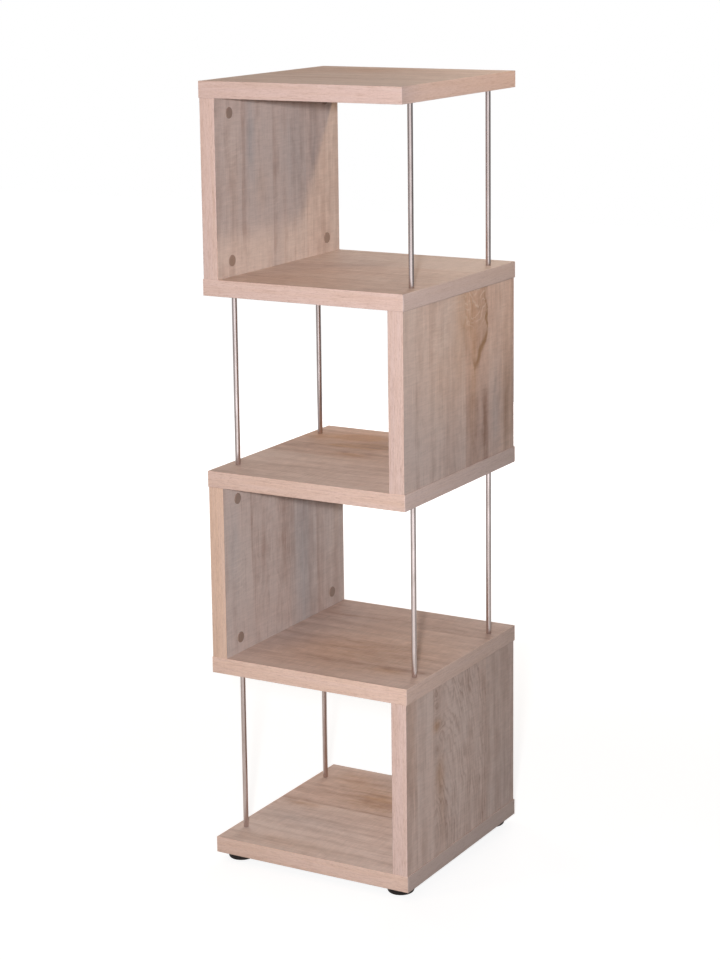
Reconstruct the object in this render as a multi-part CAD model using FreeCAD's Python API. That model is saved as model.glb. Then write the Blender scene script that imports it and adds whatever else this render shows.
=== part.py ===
import FreeCAD, Part
import os

# Zig-zag column bookcase. Millimetres, +Z up, front towards -Y.
# The origin is on the floor, under the middle of the boards.

# Boards and panels
board_width = 340.0
board_depth = 360.0
board_thickness = 25.0
panel_thickness = 25.0
opening_height = 268.0
side_overhang = 1.5
back_overhang = 1.5
band_thickness = 1.0
arris_chamfer = 0.4
chamfer_limit_share = 0.8

# Steel rods, held in blind seats
rod_diameter = 8.0
rod_side_inset = 18.0
rod_end_inset = 57.0
rod_seat_share = 0.4
rod_chamfer = 0.5
seat_clearance = 0.1
end_clearance = 0.5

# Cam fittings, which pull each panel end against a board
cam_diameter = 15.0
cam_distance = 24.0
cam_edge_inset = 40.0
cam_recess = 0.6
cam_height_share = 0.68
cam_slot_length = 8.0
cam_slot_width = 2.0
cam_slot_depth = 3.0
bolt_shaft_diameter = 6.0
bolt_neck_diameter = 4.0
bolt_head_diameter = 7.0
bolt_head_chamfer = 1.5
bolt_neck_length = 3.0
bolt_thread_diameter = 5.0
bolt_thread_share = 0.44
bolt_collar_diameter = 7.6
bolt_collar_height = 1.5

# Wooden dowels beside the fittings
dowel_diameter = 8.0
dowel_spacing = 64.0
dowel_panel_length = 20.0
dowel_seat_share = 0.4
dowel_chamfer = 1.0

# Cover caps over the cams
cap_diameter = 17.0
cap_thickness = 1.2
cap_chamfer = 0.4
cap_spigot_share = 0.8

# Glides and their screws
glide_diameter = 41.0
glide_height = 12.0
glide_edge_inset = 28.0
glide_edge_radius = 4.0
screw_diameter = 4.0
screw_head_diameter = 9.0
screw_head_height = 2.5
screw_head_recess = 2.0
screw_seat_share = 0.6
screw_slot_length = 4.0
screw_slot_width = 1.0
screw_slot_depth = 1.2

# Extra length that lets a cutting tool run out past a face
overrun = 5.0

# The levels from the floor up, with the side their panel stands on: -1 left, 1 right
bay_names = ("bottom", "lower", "upper", "top")
panel_sides = (1, -1, 1, -1)
side_words = {-1: "left", 1: "right"}
board_names = ("base_board", "lower_shelf", "middle_shelf", "upper_shelf", "top_board")

# Depths that follow the board or panel that carries them
rod_seat = board_thickness * rod_seat_share
bolt_seat = board_thickness * bolt_thread_share
dowel_seat = board_thickness * dowel_seat_share
screw_seat = board_thickness * screw_seat_share
cam_height = panel_thickness * cam_height_share
level_pitch = board_thickness + opening_height


def vec(x, y, z):
    return FreeCAD.Vector(x, y, z)


def box(x0, x1, y0, y1, z0, z1):
    """A block between two opposite corners."""
    return Part.makeBox(x1 - x0, y1 - y0, z1 - z0, vec(x0, y0, z0))


def rod(diameter, x, y, z0, z1):
    """An upright cylinder from z0 up or down to z1."""
    low, high = min(z0, z1), max(z0, z1)
    return Part.makeCylinder(diameter / 2, high - low, vec(x, y, low), vec(0, 0, 1))


def cross_rod(diameter, x0, x1, y, z):
    """A cylinder along X between x0 and x1."""
    low, high = min(x0, x1), max(x0, x1)
    return Part.makeCylinder(diameter / 2, high - low, vec(low, y, z), vec(1, 0, 0))


def turned(profile, x, y, z, up):
    """A turned piece: (radius, height) points spun about an upright axis, heights running up or down from z."""
    points = [vec(r, 0, h) for r, h in profile]
    face = Part.Face(Part.makePolygon(points + [points[0]]))
    solid = face.revolve(vec(0, 0, 0), vec(0, 0, 1), 360)
    if up < 0:
        solid.rotate(vec(0, 0, 0), vec(1, 0, 0), 180)
    solid.translate(vec(x, y, z))
    return solid


def cut_all(solid, tools):
    return solid.cut(Part.makeCompound(tools))


def save(name, solids):
    shape = solids[0] if len(solids) == 1 else Part.makeCompound(solids)
    shape.exportStep(os.path.join("parts", name + ".step"))


# Places

def board_bottom(k):
    return glide_height + k * level_pitch


def board_top(k):
    return board_bottom(k) + board_thickness


def panel_outer(side):
    """The panel's outer face, inside the ends of the boards."""
    return side * (board_width / 2 - side_overhang)


def panel_inner(side):
    return panel_outer(side) - side * panel_thickness


def panel_middle(side):
    return (panel_outer(side) + panel_inner(side)) / 2


def panel_front():
    return -board_depth / 2


def panel_back():
    return board_depth / 2 - back_overhang


def cam_rows():
    return (panel_front() + cam_edge_inset, panel_back() - cam_edge_inset)


def dowel_rows():
    front, back = cam_rows()
    return (front + dowel_spacing, back - dowel_spacing)


def rod_rows():
    return (-board_depth / 2 + rod_end_inset, board_depth / 2 - rod_end_inset)


def rod_column(side):
    """Rods stand at the open side, across from the panel."""
    return -side * (board_width / 2 - rod_side_inset)


def glide_places():
    x = board_width / 2 - glide_edge_inset
    y = board_depth / 2 - glide_edge_inset
    return {"front_left": (-x, -y), "front_right": (x, -y), "back_left": (-x, y), "back_right": (x, y)}


def panel_ends(k):
    """Both ends of panel k: the height of the joint and the way into the panel, 1 up or -1 down."""
    return ((board_top(k), 1), (board_bottom(k + 1), -1))


# Boards

def board_holes(k, z, into):
    """Blind holes of level k in the board face at height z. The way into the board is into, 1 up or -1 down."""
    side = panel_sides[k]
    tools = []
    for y in cam_rows():
        width = bolt_thread_diameter + 2 * seat_clearance
        tools.append(rod(width, panel_middle(side), y, z - into * overrun, z + into * (bolt_seat + end_clearance)))
    for y in dowel_rows():
        width = dowel_diameter + 2 * seat_clearance
        tools.append(rod(width, panel_middle(side), y, z - into * overrun, z + into * dowel_seat))
    for y in rod_rows():
        width = rod_diameter + 2 * seat_clearance
        tools.append(rod(width, rod_column(side), y, z - into * overrun, z + into * rod_seat))
    return tools


def make_board(k):
    """The laminated core, inside its edge bands, with the holes of the levels above and below it."""
    half_x = board_width / 2 - band_thickness
    half_y = board_depth / 2 - band_thickness
    core = box(-half_x, half_x, -half_y, half_y, board_bottom(k), board_top(k))
    tools = []
    if k < len(bay_names):
        tools += board_holes(k, board_top(k), -1)
    if k > 0:
        tools += board_holes(k - 1, board_bottom(k), 1)
    if k == 0:
        for x, y in glide_places().values():
            width = screw_diameter + 2 * seat_clearance
            low = board_bottom(k)
            tools.append(rod(width, x, y, low - overrun, low + screw_seat + end_clearance))
    return cut_all(core, tools)


def band(x0, x1, y0, y1, z0, z1, outward):
    """One edge strip. The long arrises of its outer face are eased."""
    strip = box(x0, x1, y0, y1, z0, z1)
    out = vec(*outward)
    reach = [(edge.CenterOfMass - strip.CenterOfMass).dot(out) for edge in strip.Edges]
    eased = [edge for edge, far in zip(strip.Edges, reach) if far > max(reach) / 2]
    return strip.makeChamfer(min(arris_chamfer, band_thickness * chamfer_limit_share), eased)


def board_bands(k):
    """Front and back strips run the full width. The side strips fit between them."""
    x, y = board_width / 2, board_depth / 2
    inner_x, inner_y = x - band_thickness, y - band_thickness
    z0, z1 = board_bottom(k), board_top(k)
    return [
        band(-x, x, -y, -inner_y, z0, z1, (0, -1, 0)),
        band(-x, x, inner_y, y, z0, z1, (0, 1, 0)),
        band(-x, -inner_x, -inner_y, inner_y, z0, z1, (-1, 0, 0)),
        band(inner_x, x, -inner_y, inner_y, z0, z1, (1, 0, 0)),
    ]


# Panels and their fittings

def cam_height_z(z, up):
    return z + up * cam_distance


def bolt_tip(z, up):
    """The bolt's head ends just past the cam's axis."""
    return cam_height_z(z, up) + up * bolt_head_diameter / 2


def make_panel(k):
    side = panel_sides[k]
    x0, x1 = sorted((panel_inner(side), panel_outer(side)))
    y0, y1 = panel_front() + band_thickness, panel_back() - band_thickness
    core = box(x0, x1, y0, y1, board_top(k), board_bottom(k + 1))
    tools = []
    inner = panel_inner(side)
    for z, up in panel_ends(k):
        for y in cam_rows():
            pocket = cam_diameter + 2 * seat_clearance
            floor = inner + side * (cam_recess + cam_height)
            tools.append(cross_rod(pocket, inner - side * overrun, floor, y, cam_height_z(z, up)))
            bore = bolt_collar_diameter + 2 * seat_clearance
            tools.append(rod(bore, panel_middle(side), y, z - up * overrun, bolt_tip(z, up) + up * end_clearance))
        for y in dowel_rows():
            bore = dowel_diameter + 2 * seat_clearance
            depth = dowel_panel_length + end_clearance
            tools.append(rod(bore, panel_middle(side), y, z - up * overrun, z + up * depth))
    return cut_all(core, tools)


def panel_bands(k):
    x0, x1 = sorted((panel_inner(panel_sides[k]), panel_outer(panel_sides[k])))
    z0, z1 = board_top(k), board_bottom(k + 1)
    front, back = panel_front(), panel_back()
    return [
        band(x0, x1, front, front + band_thickness, z0, z1, (0, -1, 0)),
        band(x0, x1, back - band_thickness, back, z0, z1, (0, 1, 0)),
    ]


def make_cams(k):
    """Zinc housings: a drum with a cross slot in its face and a side opening that the bolt's head enters."""
    side = panel_sides[k]
    face = panel_inner(side) + side * cam_recess
    cams = []
    for z, up in panel_ends(k):
        axis = cam_height_z(z, up)
        for y in cam_rows():
            drum = cross_rod(cam_diameter, face, face + side * cam_height, y, axis)
            bore = bolt_head_diameter + 2 * seat_clearance
            opening = rod(bore, panel_middle(side), y, z, bolt_tip(z, up) + up * end_clearance)
            x0, x1 = sorted((face - side * overrun, face + side * cam_slot_depth))
            long_half, short_half = cam_slot_length / 2, cam_slot_width / 2
            lying = box(x0, x1, y - long_half, y + long_half, axis - short_half, axis + short_half)
            upright = box(x0, x1, y - short_half, y + short_half, axis - long_half, axis + long_half)
            cams.append(cut_all(drum, [opening, lying, upright]))
    return cams


def make_bolts(k):
    """Thread in the board, collar on its face, shaft, neck and a head held by the cam."""
    x = panel_middle(panel_sides[k])
    thread, shaft = bolt_thread_diameter / 2, bolt_shaft_diameter / 2
    collar, neck, head = bolt_collar_diameter / 2, bolt_neck_diameter / 2, bolt_head_diameter / 2
    tip = cam_distance + head
    head_start = tip - bolt_head_diameter
    shaft_end = head_start - bolt_neck_length
    profile = [
        (0, -bolt_seat), (thread, -bolt_seat), (thread, 0), (collar, 0),
        (collar, bolt_collar_height), (shaft, bolt_collar_height), (shaft, shaft_end),
        (neck, shaft_end), (neck, head_start), (head, head_start + bolt_head_chamfer),
        (head, tip - bolt_head_chamfer), (head - bolt_head_chamfer, tip), (0, tip),
    ]
    return [turned(profile, x, y, z, up) for z, up in panel_ends(k) for y in cam_rows()]


def make_dowels(k):
    x = panel_middle(panel_sides[k])
    radius = dowel_diameter / 2
    foot, tip = -dowel_seat, dowel_panel_length
    profile = [
        (0, foot), (radius - dowel_chamfer, foot), (radius, foot + dowel_chamfer),
        (radius, tip - dowel_chamfer), (radius - dowel_chamfer, tip), (0, tip),
    ]
    return [turned(profile, x, y, z, up) for z, up in panel_ends(k) for y in dowel_rows()]


def make_caps(k):
    """Flat discs on the panel's inner face, with a low spigot in the mouth of the cam's pocket."""
    side = panel_sides[k]
    face = panel_inner(side)
    caps = []
    for z, up in panel_ends(k):
        for y in cam_rows():
            disc = cross_rod(cap_diameter, face, face - side * cap_thickness, y, cam_height_z(z, up))
            rim = [e for e in disc.Edges if abs(e.CenterOfMass.x - face) > cap_thickness / 2 and e.Closed]
            disc = disc.makeChamfer(min(cap_chamfer, cap_thickness * chamfer_limit_share), rim)
            depth = side * cam_recess * cap_spigot_share
            spigot = cross_rod(cam_diameter, face, face + depth, y, cam_height_z(z, up))
            caps.append(disc.fuse(spigot).removeSplitter())
    return caps


# Rods

def make_rod(k, row):
    """Seated on the hole's floor in the board below, with a little play in the board above."""
    radius = rod_diameter / 2
    foot = -rod_seat
    tip = opening_height + rod_seat - end_clearance
    profile = [
        (0, foot), (radius - rod_chamfer, foot), (radius, foot + rod_chamfer),
        (radius, tip - rod_chamfer), (radius - rod_chamfer, tip), (0, tip),
    ]
    return turned(profile, rod_column(panel_sides[k]), rod_rows()[row], board_top(k), 1)


# Glides

def make_glide(x, y):
    """A low disc with a rounded lower edge and a countersunk hole for its screw."""
    disc = rod(glide_diameter, x, y, 0, glide_height)
    lower = [e for e in disc.Edges if e.CenterOfMass.z < glide_height / 4]
    disc = disc.makeFillet(min(glide_edge_radius, glide_height / 2), lower)
    head = screw_head_diameter / 2 + seat_clearance
    shank = screw_diameter / 2 + seat_clearance
    seat_top = screw_head_recess + screw_head_height
    hole = [
        (0, -overrun), (head, -overrun), (head, screw_head_recess),
        (shank, seat_top), (shank, glide_height + overrun), (0, glide_height + overrun),
    ]
    return disc.cut(turned(hole, x, y, 0, 1))


def make_screw(x, y):
    """Countersunk wood screw, point up, with a cross slot in its head."""
    head, shank = screw_head_diameter / 2, screw_diameter / 2
    seat_top = screw_head_recess + screw_head_height
    tip = glide_height + screw_seat
    z0, z1 = screw_head_recess - overrun, screw_head_recess + screw_slot_depth
    long_half, short_half = screw_slot_length / 2, screw_slot_width / 2
    along_x = box(x - long_half, x + long_half, y - short_half, y + short_half, z0, z1)
    along_y = box(x - short_half, x + short_half, y - long_half, y + long_half, z0, z1)
    profile = [
        (0, screw_head_recess), (head, screw_head_recess), (shank, seat_top),
        (shank, tip - screw_diameter), (0, tip),
    ]
    return cut_all(turned(profile, x, y, 0, 1), [along_x, along_y])


def build():
    os.makedirs("parts", exist_ok=True)
    for k, name in enumerate(board_names):
        save(name, [make_board(k)])
        save(name + "_edging", board_bands(k))
    for k, bay in enumerate(bay_names):
        panel = bay + "_" + side_words[panel_sides[k]] + "_panel"
        save(panel, [make_panel(k)])
        save(panel + "_edging", panel_bands(k))
        save(panel + "_cams", make_cams(k))
        save(panel + "_cam_bolts", make_bolts(k))
        save(panel + "_dowels", make_dowels(k))
        save(panel + "_cover_caps", make_caps(k))
        save(bay + "_front_rod", [make_rod(k, 0)])
        save(bay + "_back_rod", [make_rod(k, 1)])
    for place, (x, y) in glide_places().items():
        save(place + "_glide", [make_glide(x, y)])
    save("glide_screws", [make_screw(x, y) for x, y in glide_places().values()])


build()
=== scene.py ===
import math

import bpy
import numpy as np
from mathutils import Matrix, Vector


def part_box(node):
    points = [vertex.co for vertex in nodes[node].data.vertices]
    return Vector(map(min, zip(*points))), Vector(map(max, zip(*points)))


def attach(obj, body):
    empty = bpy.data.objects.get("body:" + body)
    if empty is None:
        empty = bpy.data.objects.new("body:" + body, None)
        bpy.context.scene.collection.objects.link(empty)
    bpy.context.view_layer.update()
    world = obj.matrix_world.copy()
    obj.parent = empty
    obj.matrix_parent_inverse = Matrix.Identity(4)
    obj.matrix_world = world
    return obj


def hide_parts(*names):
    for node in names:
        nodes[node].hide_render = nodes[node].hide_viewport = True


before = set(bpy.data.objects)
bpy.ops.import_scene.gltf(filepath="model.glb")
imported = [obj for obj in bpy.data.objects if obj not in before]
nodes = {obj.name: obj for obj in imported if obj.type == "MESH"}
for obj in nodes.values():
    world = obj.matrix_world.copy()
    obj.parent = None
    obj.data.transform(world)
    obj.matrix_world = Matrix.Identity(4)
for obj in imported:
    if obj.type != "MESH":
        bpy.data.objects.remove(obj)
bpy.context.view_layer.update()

# Lengths here are millimetres. They become metres where a mesh, a lamp or the camera is made.
mm = 0.001

boardNames = ("base_board", "lower_shelf", "middle_shelf", "upper_shelf", "top_board")
panelNames = ("bottom_right_panel", "lower_left_panel", "upper_right_panel", "top_left_panel")
rodNames = sorted(name for name in nodes if name.endswith("_rod"))
glideNames = sorted(name for name in nodes if name.endswith("_glide"))


def boxOf(name):
    # both corners of a construction node, in millimetres
    low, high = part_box(name)
    return np.array(low) / mm, np.array(high) / mm


# Camera

cameraSetup = {
    "imageHeight": 960,        # pixels along the long side of the frame
    "focalPixels": 2352,
    "sensor": 36,
    "place": (1755, -3065, 1446),
    "azimuth": 29.88,          # degrees to the right of straight ahead
    "pitch": -11.31,
    "roll": -0.69,
    "shiftUp": -0.10,
    "clip": (100, 50000),      # nearest and farthest distance seen
}


def makeCamera(setup):
    data = bpy.data.cameras.new("photoCamera")
    data.sensor_width = setup["sensor"]
    data.lens = setup["focalPixels"] * setup["sensor"] / setup["imageHeight"]
    data.shift_y = setup["shiftUp"]
    data.clip_start, data.clip_end = (distance * mm for distance in setup["clip"])
    camera = bpy.data.objects.new("photoCamera", data)
    turn = Matrix.Rotation(math.radians(setup["azimuth"]), 4, "Z")
    tilt = Matrix.Rotation(math.radians(90 + setup["pitch"]), 4, "X")
    roll = Matrix.Rotation(math.radians(setup["roll"]), 4, "Z")
    camera.matrix_world = Matrix.Translation(Vector(setup["place"]) * mm) @ turn @ tilt @ roll
    bpy.context.scene.collection.objects.link(camera)
    bpy.context.scene.camera = camera


makeCamera(cameraSetup)
print("camera ready")


# Shader maths: a Wire holds one socket, and sums on wires add the nodes

class Wire:
    def __init__(self, finish, socket):
        self.finish = finish
        self.socket = socket

    def maths(self, operation, *others):
        return self.finish.maths(operation, self, *others)

    def __add__(self, other):
        return self.finish.maths("ADD", self, other)

    def __radd__(self, other):
        return self.finish.maths("ADD", other, self)

    def __sub__(self, other):
        return self.finish.maths("SUBTRACT", self, other)

    def __rsub__(self, other):
        return self.finish.maths("SUBTRACT", other, self)

    def __mul__(self, other):
        return self.finish.maths("MULTIPLY", self, other)

    def __rmul__(self, other):
        return self.finish.maths("MULTIPLY", other, self)

    def __truediv__(self, other):
        return self.finish.maths("DIVIDE", self, other)

    def __rtruediv__(self, other):
        return self.finish.maths("DIVIDE", other, self)

    def __gt__(self, other):
        return self.finish.maths("GREATER_THAN", self, other)

    def fract(self):
        return self.maths("FRACT")

    def root(self):
        return self.maths("SQRT")

    def least(self, other):
        return self.maths("MINIMUM", other)

    def most(self, other):
        return self.maths("MAXIMUM", other)

    def size(self):
        return self.maths("ABSOLUTE")

    def hill(self):
        # e to the power of minus this value
        return (self * -1).maths("EXPONENT")

    def rise(self, low, high):
        # 0 below low, 1 above high, smooth between
        return self.finish.add("MapRange", {"interpolation_type": "SMOOTHSTEP"},
                               {0: self, 1: low, 2: high, 3: 0.0, 4: 1.0})

    def sway(self, amount):
        # a noise, which goes from 0 to 1, as a change of up to half the amount either way
        return (self - 0.5) * amount


class Finish:
    # one material, or the world's nodes: add makes a node, and surface or end closes the tree
    def __init__(self, name, world=None):
        self.material = world or bpy.data.materials.new(name)
        self.material.use_nodes = True
        self.tree = self.material.node_tree
        self.tree.nodes.clear()

    def add(self, kind, settings=None, sockets=None, out=0):
        node = self.tree.nodes.new("ShaderNode" + kind)
        for key, value in (settings or {}).items():
            if key == "stops":
                self.setStops(node.color_ramp, value)
            else:
                setattr(node, key, value)
        for key, value in (sockets or {}).items():
            self.feed(node.inputs[key], value)
        return Wire(self, node.outputs[out])

    def setStops(self, ramp, stops):
        while len(ramp.elements) < len(stops):
            ramp.elements.new(1.0)
        for element, (position, colour) in zip(ramp.elements, stops):
            element.position = position
            element.color = (*colour, 1.0) if hasattr(colour, "__len__") else (colour,) * 3 + (1.0,)

    def feed(self, socket, value):
        if isinstance(value, Wire):
            self.tree.links.new(value.socket, socket)
        elif hasattr(socket.default_value, "__len__") and len(socket.default_value) == 4:
            socket.default_value = (*value, 1.0)
        else:
            socket.default_value = value

    def maths(self, operation, *values):
        return self.add("Math", {"operation": operation}, dict(enumerate(values)))

    def place(self):
        # the point on the object in millimetres, as three wires
        point = self.add("TexCoord", out="Object")
        scaled = self.add("VectorMath", {"operation": "SCALE"}, {0: point, "Scale": 1 / mm})
        return self.parts(scaled)

    def along(self, uvName):
        # the piece's own map in millimetres: along the strip, across the strip
        point = self.add("UVMap", {"uv_map": uvName})
        scaled = self.add("VectorMath", {"operation": "SCALE"}, {0: point, "Scale": 1 / mm})
        return self.parts(scaled)[:2]

    def parts(self, vector):
        return [self.add("SeparateXYZ", None, {0: vector}, out=axis) for axis in range(3)]

    def noise(self, wires, sizes, detail=2.0, roughness=0.5):
        # noise whose patches have these sizes along the wires; a wire past the last size is a seed
        scaled = [wire / size for wire, size in zip(wires, sizes)] + list(wires[len(sizes):])
        point = self.add("CombineXYZ", None, dict(enumerate(scaled)))
        sockets = {"Vector": point, "Scale": 1.0, "Detail": detail, "Roughness": roughness}
        return self.add("TexNoise", None, sockets)

    def ramp(self, factor, stops):
        return self.add("ValToRGB", {"stops": stops}, {0: factor})

    def blend(self, factor, first, second):
        settings = {"data_type": "RGBA", "clamp_factor": True}
        return self.add("Mix", settings, {0: factor, 6: first, 7: second}, out=2)

    def shade(self, colour, level):
        # a colour times a level
        return self.add("VectorMath", {"operation": "SCALE"}, {0: colour, "Scale": level})

    def bump(self, height, depth):
        # depth is how deep a height of 1 is
        return self.add("Bump", None, {"Strength": 1.0, "Distance": depth * mm, "Height": height})

    def surface(self, sockets):
        return self.end("OutputMaterial", self.add("BsdfPrincipled", None, sockets))

    def end(self, kind, shader):
        output = self.tree.nodes.new("ShaderNode" + kind)
        self.feed(output.inputs[0], shader)
        return self.material


def tint(colour):
    # a colour read on the usual 0 to 255 screen scale, as the linear values that a shader takes
    levels = [value / 255 for value in colour]
    return tuple(s / 12.92 if s <= 0.04 else ((s + 0.055) / 1.055) ** 2.4 for s in levels)


def stepped(across, joints, values):
    # a value that changes from plank to plank of the print
    result = values[0]
    for joint, before, after in zip(joints, values, values[1:]):
        if after != before:
            result = result + (across > joint) * (after - before)
    return result


# Oak laminate on boards and panels. The print shows planks of flat-sawn oak side by side.

oakPrint = {
    "cool": (214, 195, 186),   # ground of the greyer planks
    "rosy": (222, 192, 178),   # ground of the warmer planks
    "blue": (184, 179, 179),   # cool stains, and painted shade where a listed cool stain stands for it
    "gold": (198, 154, 118),   # flames and warm stains
    "brown": (152, 115, 98),   # late wood, streaks and knots
    "amber": (150, 112, 74),   # outline of a flame
    "light": (238, 222, 210),  # saw marks and the lines in a flame
    "darkness": 0.19,
    "streakStrength": 0.62,    # of the streaks listed for each piece
    "streakFade": 30,          # length over which such a streak starts and ends
    "roughness": 0.5,
    "specular": 0.4,
    "relief": 0.12,
    # width across the grain and length along it of the patches of each noise in the print
    "wander": (120, 500), "wobble": (36, 75), "ringStray": (20, 60), "ringFade": (22, 55),
    "broad": (17, 420), "streak": (4.0, 105), "fibre": (1.3, 60), "pore": (0.5, 7),
    "blotch": (13, 26), "weave": (34, 6.5), "ripple": (24, 2.3), "cloud": (90, 200),
    "flameBend": (18, 34), "flameJag": (12, 18),
    "wanderBy": 24,            # how far the grain drifts sideways
    "wobbleBy": 6,             # and how far it sways within a hand's width
    "otherFace": 31.7,         # steps of the seed, so that no face or plank repeats another
    "nextPlank": 5.3,
    "ringSpacing": 8,
    "ringStrayBy": 4.2,        # in rings
    "ringDarkness": ((0.0, 0.1), (0.4, 0.0), (0.78, 0.9), (0.88, 1.0), (1.0, 0.1)),
    "sawSpacing": 8.5,
    "sawTilt": 0.1,
    "sawBow": 20,
    "sawLine": ((0.0, 0.0), (0.26, 0.0), (0.5, 1.0), (0.74, 0.0)),
    "flameSpacing": 15,
    "flameBendBy": 16,
    "flameJagBy": 14,
    "flameLine": ((0.0, 0.0), (0.34, 0.0), (0.5, 1.0), (0.66, 0.0)),
}

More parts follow.
